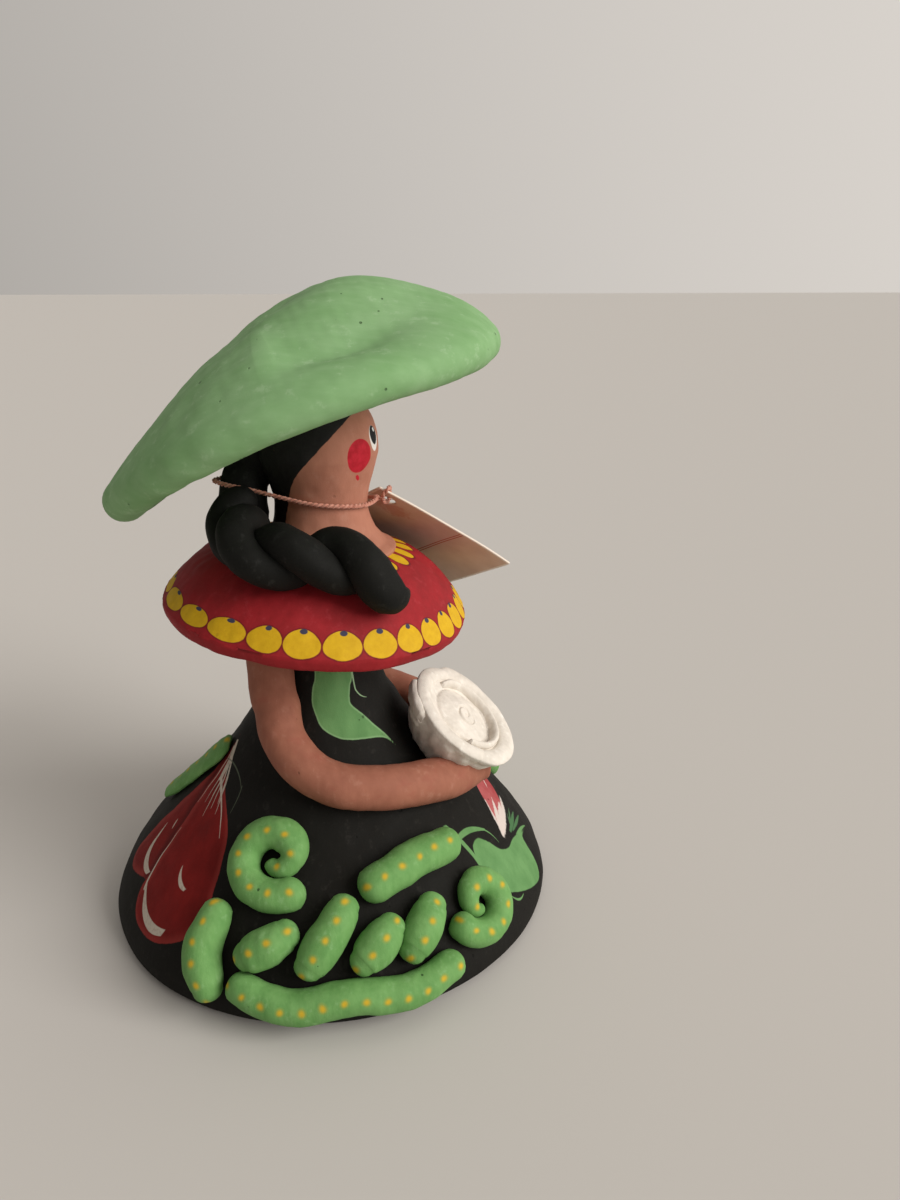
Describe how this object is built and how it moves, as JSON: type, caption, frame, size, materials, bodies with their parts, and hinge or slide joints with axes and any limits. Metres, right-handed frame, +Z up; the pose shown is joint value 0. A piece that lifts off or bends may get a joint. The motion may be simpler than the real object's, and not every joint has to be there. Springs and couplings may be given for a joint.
{
  "type": "clay figurine",
  "caption": "Free-standing hand-painted clay figurine of a woman in a bell-shaped dress, with a wide hat, a braid, a rose in her arms and a card tag on a twine.",
  "frame": {"origin": "centre of the dress's foot, on the surface the figure stands on", "axes": "+Z up; the figure faces -Y; her right side is -X"},
  "size_m": [0.128, 0.118, 0.1611],
  "materials": {
    "black_clay": "matt black paint with painted flowers",
    "red_clay": "matt red paint with yellow ovals",
    "brown_clay": "matt brown slip over fired clay",
    "green_clay": "matt green paint",
    "hair_black": "matt black paint",
    "white_clay": "matt cream-white paint with grey in the creases",
    "roll_green": "matt green paint with small yellow dots",
    "pink_twine": "two-ply pink cotton twine",
    "tag_card": "uncoated beige card"
  },
  "bodies": {
    "figure": {"dress": "black_clay", "collar": "red_clay", "neck_and_head": "brown_clay", "hat": "green_clay", "right_arm": "brown_clay", "left_arm": "brown_clay", "hair_root": "hair_black", "braid_strand_1": "hair_black", "braid_strand_2": "hair_black", "rose_bud": "white_clay", "rose_inner_petal": "white_clay", "rose_outer_petal_1": "white_clay", "rose_outer_petal_2": "white_clay", "back_leaf": "roll_green", "right_back_coil": "roll_green", "right_back_leaf": "roll_green", "right_hem_stem": "roll_green", "right_stem_leaf_1": "roll_green", "right_stem_leaf_2": "roll_green", "right_stem_leaf_3": "roll_green", "right_stem_leaf_4": "roll_green", "right_top_sprig": "roll_green", "right_front_coil": "roll_green", "left_back_coil": "roll_green", "left_back_leaf": "roll_green", "left_hem_stem": "roll_green", "left_stem_leaf_1": "roll_green", "left_stem_leaf_2": "roll_green", "left_stem_leaf_3": "roll_green", "left_stem_leaf_4": "roll_green", "left_top_sprig": "roll_green", "left_front_coil": "roll_green", "twine": "pink_twine", "knot": "pink_twine"},
    "tag": {"tag": "tag_card", "tag_loop": "pink_twine"}
  },
  "joints": [
    {"name": "tag_swing", "type": "hinge", "parent": "figure", "child": "tag", "pos_m": [0.003, -0.0145, 0.1087], "axis": [-0.765, -0.5028, 0.4024], "range_deg": [0, 30]}
  ]
}
